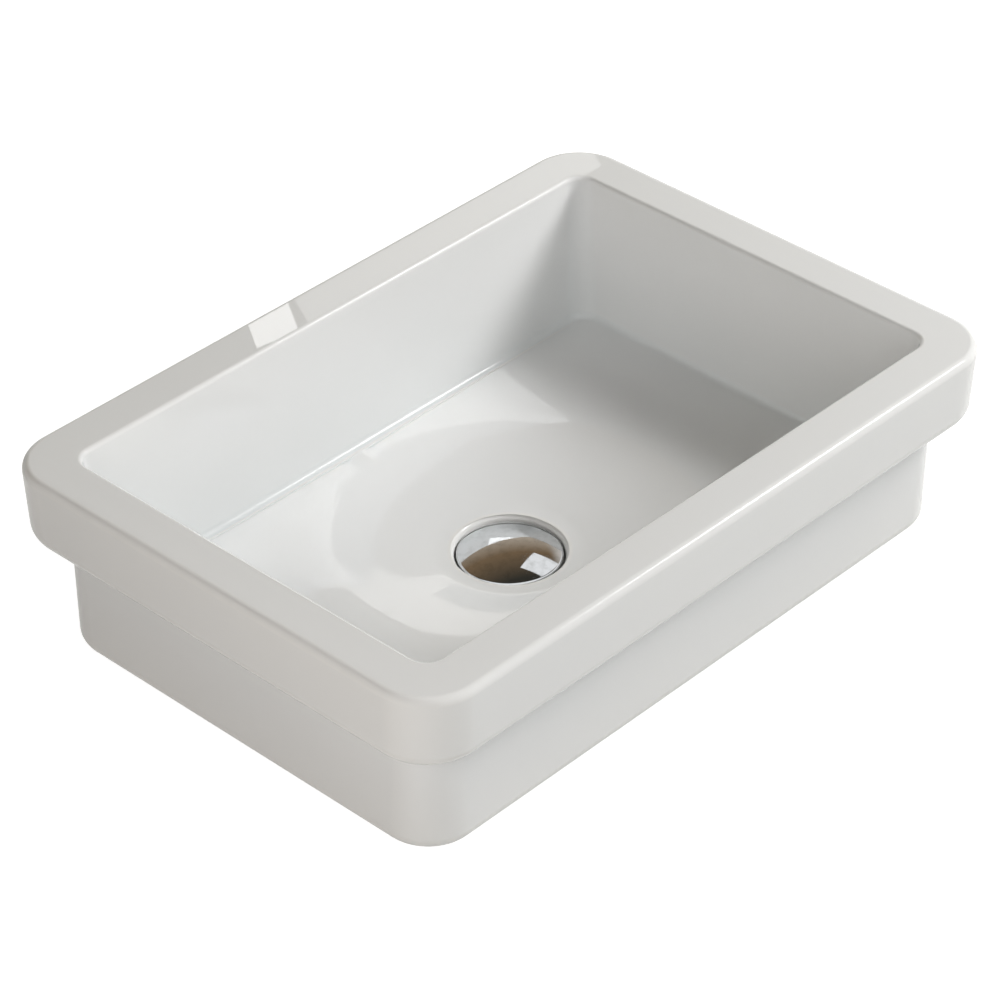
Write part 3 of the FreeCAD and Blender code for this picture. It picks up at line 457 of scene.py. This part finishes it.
def addThread(bm):
    turns = math.ceil((waste["threadTop"] - waste["threadUnder"]) / waste["pitch"]) + 2
    low = waste["threadUnder"] - 1.5 * waste["pitch"]  # drawn past both ends and cut off there
    verts = []
    for turn in range(turns):
        for radius, share in waste["profile"]:
            level = low + (turn + share) * waste["pitch"]
            verts.append(bm.verts.new((waste[radius] * mm, 0, level * mm)))
    edges = [bm.edges.new(pair) for pair in zip(verts, verts[1:])]
    bmesh.ops.spin(bm, geom=verts + edges, cent=(0, 0, 0), axis=(0, 0, 1), angle=2 * math.pi,
                   dvec=(0, 0, waste["pitch"] / waste["steps"] * mm), steps=waste["steps"])
    bmesh.ops.remove_doubles(bm, verts=bm.verts, dist=meshing["mergeMm"] * mm)
    circles = []
    for level, outwards in ((waste["threadTop"], 1), (waste["threadUnder"], -1)):
        bmesh.ops.bisect_plane(bm, geom=bm.verts[:] + bm.edges[:] + bm.faces[:],
                               plane_co=(0, 0, level * mm), plane_no=(0, 0, outwards), clear_outer=True)
        cut = [edge for edge in bm.edges if edge.is_boundary
               and all(abs(vert.co.z - level * mm) < 1e-6 for vert in edge.verts)]
        made = bmesh.ops.create_circle(bm, segments=waste["steps"], radius=waste["core"] * mm,
                                       matrix=Matrix.Translation((0, 0, level * mm)))
        circle = list({edge for vert in made["verts"] for edge in vert.link_edges})
        bmesh.ops.bridge_loops(bm, edges=cut + circle)
        circles += circle
    bmesh.ops.bridge_loops(bm, edges=circles)


def makeWaste():
    bm = bmesh.new()
    addThread(bm)
    spinSection(bm, waste["flange"], waste["steps"])
    spinSection(bm, waste["hub"], waste["hubSteps"])
    for arm in range(waste["arms"]):
        turn = Matrix.Rotation(2 * math.pi * arm / waste["arms"], 4, "Z")
        made = bmesh.ops.create_cube(bm, size=mm,
                                     matrix=turn @ Matrix.Translation(Vector(waste["armMiddle"]) * mm)
                                     @ Matrix.Diagonal((*waste["arm"], 1)))
        edges = list({edge for vert in made["verts"] for edge in vert.link_edges})
        roundOff(bm, "EDGES", edges, waste["armRound"], waste["armRoundSteps"])
    return placePiece(bm, "wasteBody", "basin", "chrome", [chrome], "waste_body")


# Plain turned and moulded rings, each a section round the drain axis
rings = {
    "coneWasher": {"body": "basin", "slot": "rubber", "finish": rubber, "node": "cone_washer",
                   "section": [(21.05, -4.5, 0.3), (29, -4.5, 1), (29, 1.5, 1.2), (22.3, 1.5, 0.3),
                               (21.6, 3.5, 0.3), (21.05, 3.5, 0.1)]},
    "flangeSeal": {"body": "basin", "slot": "rubber", "finish": rubber, "node": "flange_seal",
                   "section": [(21.05, 8.5, 0.2), (30.5, 8.5, 0.4), (30.5, 10, 0.4), (21.05, 10, 0.2)]},
    "slipWasher": {"body": "basin", "slot": "nylon", "finish": nylon, "node": "slip_washer",
                   "section": [(21.05, -6, 0.2), (28, -6, 0.4), (28, -4.5, 0.4), (21.05, -4.5, 0.2)]},
    "tailSeal": {"body": "basin", "slot": "rubber", "finish": rubber, "node": "tail_seal",
                 "section": [(14.5, -60.5, 0.3), (20.95, -60.5, 0.4), (20.95, -58.5, 0.4),
                             (14.5, -58.5, 0.3)]},
    "tailPipe": {"body": "basin", "slot": "chrome", "finish": chrome, "node": "tail_pipe",
                 "section": [(14.5, -129, 0.4), (16, -129, 0.6), (16, -67, 0.25), (15.7, -66.7, 0.25),
                             (15.7, -62, 0.5), (20.95, -62, 0.4), (20.95, -60.5, 0.4), (14.5, -60.5, 0.4)]},
    "plugSeal": {"body": "plug", "slot": "rubber", "finish": rubber, "node": "plug_seal",
                 "section": [(28.15, 12.8, 0.5), (30.8, 12.8, 0.5), (30.8, 14.3, 0.2), (28.15, 14.3, 0.2)]},
}


def makeRings():
    for name, ring in rings.items():
        bm = bmesh.new()
        spinSection(bm, ring["section"], meshing["ringSteps"])
        placePiece(bm, name, ring["body"], ring["slot"], [ring["finish"]], ring["node"])


shell = makeBasin()
makeCap()
makeWaste()
makeRings()

# Pieces of the cartridge and the nuts keep the frame's own shapes
kept = {
    "back_nut": brass, "union_nut": chrome, "plug_carrier": acetal, "cam_rod": brass, "core_sleeve": brass,
    "core_locknut": brass, "core_gland": brass, "gland_seal": rubber, "ball_cage": nylon,
    "cam_balls": steel, "core_spring": steel,
}
for name, finish in kept.items():
    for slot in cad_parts[name].material_slots:
        slot.material = finish
print("frame pieces dressed:", len(kept))

# Stage: pale floor round the basin that reads white, a window to the right, softer light from the room,
# and boards that only show in the glaze and the chrome. Levels and aims are in mm.
stage = {
    "floorHalf": 6, "floorLevel": -0.3, "floorColour": "#C2C1BE", "floorFleck": "#C6C5C2", "fibreMm": 3,
    "seenGlow": 0.85, "mirroredGlow": 0.5, "ambient": 0.045, "ambientColour": "#FFF2E0",
    "lampAim": (0, 0, 80), "boardAim": (0, 0, 20),
}
lamps = {  # azimuth and elevation as the camera's, metres, watts; none of them shows in gloss
    "keyWindow": {"from": (58, 36), "away": 2.2, "size": (1.4, 0.7), "power": 37, "colour": "#FFFFFF"},
    "sideWindow": {"from": (100, 42), "away": 2.2, "size": (0.6, 0.6), "power": 6, "colour": "#FAFFFF"},
    "farFill": {"from": (180, 30), "away": 2.2, "size": (1.4, 1.4), "power": 4.5, "colour": "#FDFFF2"},
    "leftFill": {"from": (-72, 20), "away": 1.15, "size": (0.7, 0.7), "power": 4.4, "colour": "#FFFBF8"},
    "frontFill": {"from": (-8, 24), "away": 1.5, "size": (0.8, 0.8), "power": 3.2, "colour": "#F0F8FF"},
}
panes = {  # bright panes that show in the glaze alone, two of them close behind the rim; lean in degrees
    "paneEdges": {"from": (56, 40), "away": 2.2, "size": (0.5, 0.5), "power": 8},
    "paneStrip": {"from": (137.1, 33.1), "aim": (-41, 160, 130), "away": 0.04, "size": (0.028, 0.022),
                  "lean": 19, "power": 0.0073},
    "paneWide": {"from": (180, 43), "aim": (141, 157, 130), "away": 0.035, "size": (0.27, 0.025),
                 "power": 0.0263},
}
boards = {  # room and window as they show in the chrome: colours from foot to top, and at the faded side
    "brownRoom": {"from": (160, 48), "away": 2, "size": (3.9, 2.3), "right": "#D2CDC6", "fade": (-1.9, -1.5),
                  "tones": [(0.15, "#C4B8A8"), (0.5, "#7D6850"), (0.9, "#393731")]},
    "paleWindow": {"from": (109, 50), "away": 1.6, "size": (0.4, 0.5), "right": "#FFFFFF", "fade": (-1, 1),
                   "tones": [(0, "#FFFFFF"), (1, "#FFFFFF")]},
}


def directionOf(azimuth, elevation):
    turn, rise = math.radians(azimuth), math.radians(elevation)
    return Vector((math.sin(turn) * math.cos(rise), -math.cos(turn) * math.cos(rise), math.sin(rise)))


def standOnStage(bm, name, material):
    mesh = bpy.data.meshes.new(name)
    bm.to_mesh(mesh)
    bm.free()
    mesh.materials.append(material)
    card = bpy.data.objects.new(name, mesh)
    bpy.context.collection.objects.link(card)
    return card


def makeFloor():
    material, tree, place = startMaterial("paperSweep")
    path = addNode(tree, "ShaderNodeLightPath")
    mirrored = addNode(tree, "ShaderNodeMath", {"operation": "MAXIMUM"},
                       {0: path.outputs["Is Glossy Ray"], 1: path.outputs["Is Transmission Ray"]})
    mirrored = addNode(tree, "ShaderNodeMath", {"operation": "MULTIPLY", 1: stage["mirroredGlow"]},
                       {0: mirrored.outputs[0]})
    glowLevel = addNode(tree, "ShaderNodeMath", {"operation": "MULTIPLY_ADD", 1: stage["seenGlow"]},
                        {0: path.outputs["Is Camera Ray"], 2: mirrored.outputs[0]})
    glow = addNode(tree, "ShaderNodeEmission", {"Color": (1, 1, 1, 1)}, {"Strength": glowLevel.outputs[0]})
    fibre = addNode(tree, "ShaderNodeTexNoise", {"Scale": perMetre(stage["fibreMm"]), "Detail": 3.0},
                    {"Vector": place}).outputs["Fac"]
    tint = addNode(tree, "ShaderNodeValToRGB",
                   {"stops": [(0.3, stage["floorColour"]), (0.7, stage["floorFleck"])]}, {"Fac": fibre})
    paper = addNode(tree, "ShaderNodeBsdfDiffuse", {}, {"Color": tint.outputs["Color"]})
    lit = addNode(tree, "ShaderNodeAddShader", {}, {0: glow.outputs[0], 1: paper.outputs[0]})
    clear = addNode(tree, "ShaderNodeBsdfTransparent")
    below = addNode(tree, "ShaderNodeNewGeometry").outputs["Backfacing"]
    sides = addNode(tree, "ShaderNodeMixShader", {}, {"Fac": below, 1: lit.outputs[0], 2: clear.outputs[0]})
    addNode(tree, "ShaderNodeOutputMaterial", {}, {"Surface": sides.outputs[0]})
    bm = bmesh.new()
    bmesh.ops.create_grid(bm, x_segments=2, y_segments=2, size=stage["floorHalf"],
                          matrix=Matrix.Translation((0, 0, stage["floorLevel"] * mm)))
    floor = standOnStage(bm, "floorSweep", material)


def makeWorld():
    world = bpy.data.worlds.new("paleRoom")
    world.use_nodes = True
    tree = world.node_tree
    tree.nodes.clear()
    path = addNode(tree, "ShaderNodeLightPath")
    seen = addNode(tree, "ShaderNodeMath", {"operation": "MAXIMUM"},
                   {0: path.outputs["Is Camera Ray"], 1: path.outputs["Is Glossy Ray"]})
    seen = addNode(tree, "ShaderNodeMath", {"operation": "MAXIMUM"},
                   {0: seen.outputs[0], 1: path.outputs["Is Transmission Ray"]})
    ambient = addNode(tree, "ShaderNodeBackground", {"Color": linearColour(stage["ambientColour"]),
                                                     "Strength": stage["ambient"]})
    white = addNode(tree, "ShaderNodeBackground", {"Color": (1, 1, 1, 1), "Strength": 1.0})
    mixed = addNode(tree, "ShaderNodeMixShader", {},
                    {"Fac": seen.outputs[0], 1: ambient.outputs[0], 2: white.outputs[0]})
    addNode(tree, "ShaderNodeOutputWorld", {}, {"Surface": mixed.outputs[0]})
    bpy.context.scene.world = world


def makeLamp(name, lamp):
    light = bpy.data.lights.new(name, "AREA")
    light.shape = "RECTANGLE"
    light.size, light.size_y = lamp["size"]
    light.energy = lamp["power"]
    light.color = linearColour(lamp.get("colour", "#FFFFFF"))[:3]
    holder = bpy.data.objects.new(name, light)
    direction = directionOf(*lamp["from"])
    aim = Vector(lamp.get("aim", stage["lampAim"])) * mm
    holder.matrix_world = (Matrix.Translation(aim + direction * lamp["away"])
                           @ direction.to_track_quat("Z", "Y").to_matrix().to_4x4()
                           @ Matrix.Rotation(math.radians(lamp.get("lean", 0)), 4, "Z"))
    bpy.context.collection.objects.link(holder)
    return holder


def makeLamps(shell):
    for name, lamp in lamps.items():
        makeLamp(name, lamp).visible_glossy = False
    chinaOnly = bpy.data.collections.new("chinaOnly")
    chinaOnly.objects.link(shell)
    for name, pane in panes.items():
        holder = makeLamp(name, pane)
        holder.visible_diffuse = False
        holder.visible_camera = False
        holder.light_linking.receiver_collection = chinaOnly


def makeBoards():
    for name, card in boards.items():
        direction = directionOf(*card["from"])
        middle = Vector(stage["boardAim"]) * mm + direction * card["away"]
        facing = direction.to_track_quat("Z", "Y").to_matrix().to_4x4()
        width, height = card["size"]
        reach = height / 2 * math.cos(math.radians(card["from"][1]))
        material, tree, place = startMaterial(name)
        level = addNode(tree, "ShaderNodeSeparateXYZ", {}, {"Vector": place}).outputs["Z"]
        share = addNode(tree, "ShaderNodeMapRange",
                        {"From Min": middle.z - reach, "From Max": middle.z + reach}, {"Value": level})
        colour = addNode(tree, "ShaderNodeValToRGB", {"stops": card["tones"]},
                         {"Fac": share.outputs["Result"]})
        across = addNode(tree, "ShaderNodeVectorMath", {"operation": "DOT_PRODUCT", 1: facing.col[0].xyz},
                         {0: place})
        faded = addNode(tree, "ShaderNodeMapRange",
                        {"interpolation_type": "SMOOTHSTEP", "From Min": card["fade"][1],
                         "From Max": card["fade"][0]}, {"Value": across.outputs["Value"]})
        colour = addNode(tree, "ShaderNodeMixRGB", {2: linearColour(card["right"])},
                         {"Fac": faded.outputs["Result"], 1: colour.outputs["Color"]})
        glow = addNode(tree, "ShaderNodeEmission", {"Strength": 1.0}, {"Color": colour.outputs["Color"]})
        addNode(tree, "ShaderNodeOutputMaterial", {}, {"Surface": glow.outputs[0]})
        bm = bmesh.new()
        bmesh.ops.create_grid(bm, x_segments=1, y_segments=1, size=0.5,
                              matrix=Matrix.Translation(middle) @ facing
                              @ Matrix.Diagonal((width, height, 1, 1)))
        board = standOnStage(bm, name, material)
        board.visible_camera = False
        board.visible_diffuse = False
        board.visible_shadow = False


makeFloor()
makeWorld()
makeLamps(shell)
makeBoards()
print("stage lit:", len(lamps) + len(panes), "lamps and", len(boards), "boards")

# Camera where the photograph was taken from: aim and slide in mm, away and clip in metres
shot = {
    "azimuth": -46.93, "elevation": 35.85, "away": 2.271, "aim": (0, 0, 130), "slide": (6.04, 60.79),
    "lens": 138.32, "film": 36, "clip": (0.05, 50),
}


def makeCamera():
    view = bpy.data.cameras.new("photoView")
    view.lens = shot["lens"]
    view.sensor_width = shot["film"]
    view.clip_start, view.clip_end = shot["clip"]
    back = directionOf(shot["azimuth"], shot["elevation"])
    turn = math.radians(shot["azimuth"])
    right = Vector((math.cos(turn), math.sin(turn), 0))
    up = back.cross(right)
    slideRight, slideUp = shot["slide"]
    place = Vector(shot["aim"]) * mm + back * shot["away"] - right * slideRight * mm - up * slideUp * mm
    holder = bpy.data.objects.new("photoView", view)
    holder.matrix_world = Matrix.Translation(place) @ Matrix((right, up, back)).transposed().to_4x4()
    bpy.context.collection.objects.link(holder)
    bpy.context.scene.camera = holder


makeCamera()
bpy.context.scene.view_settings.view_transform = "Standard"
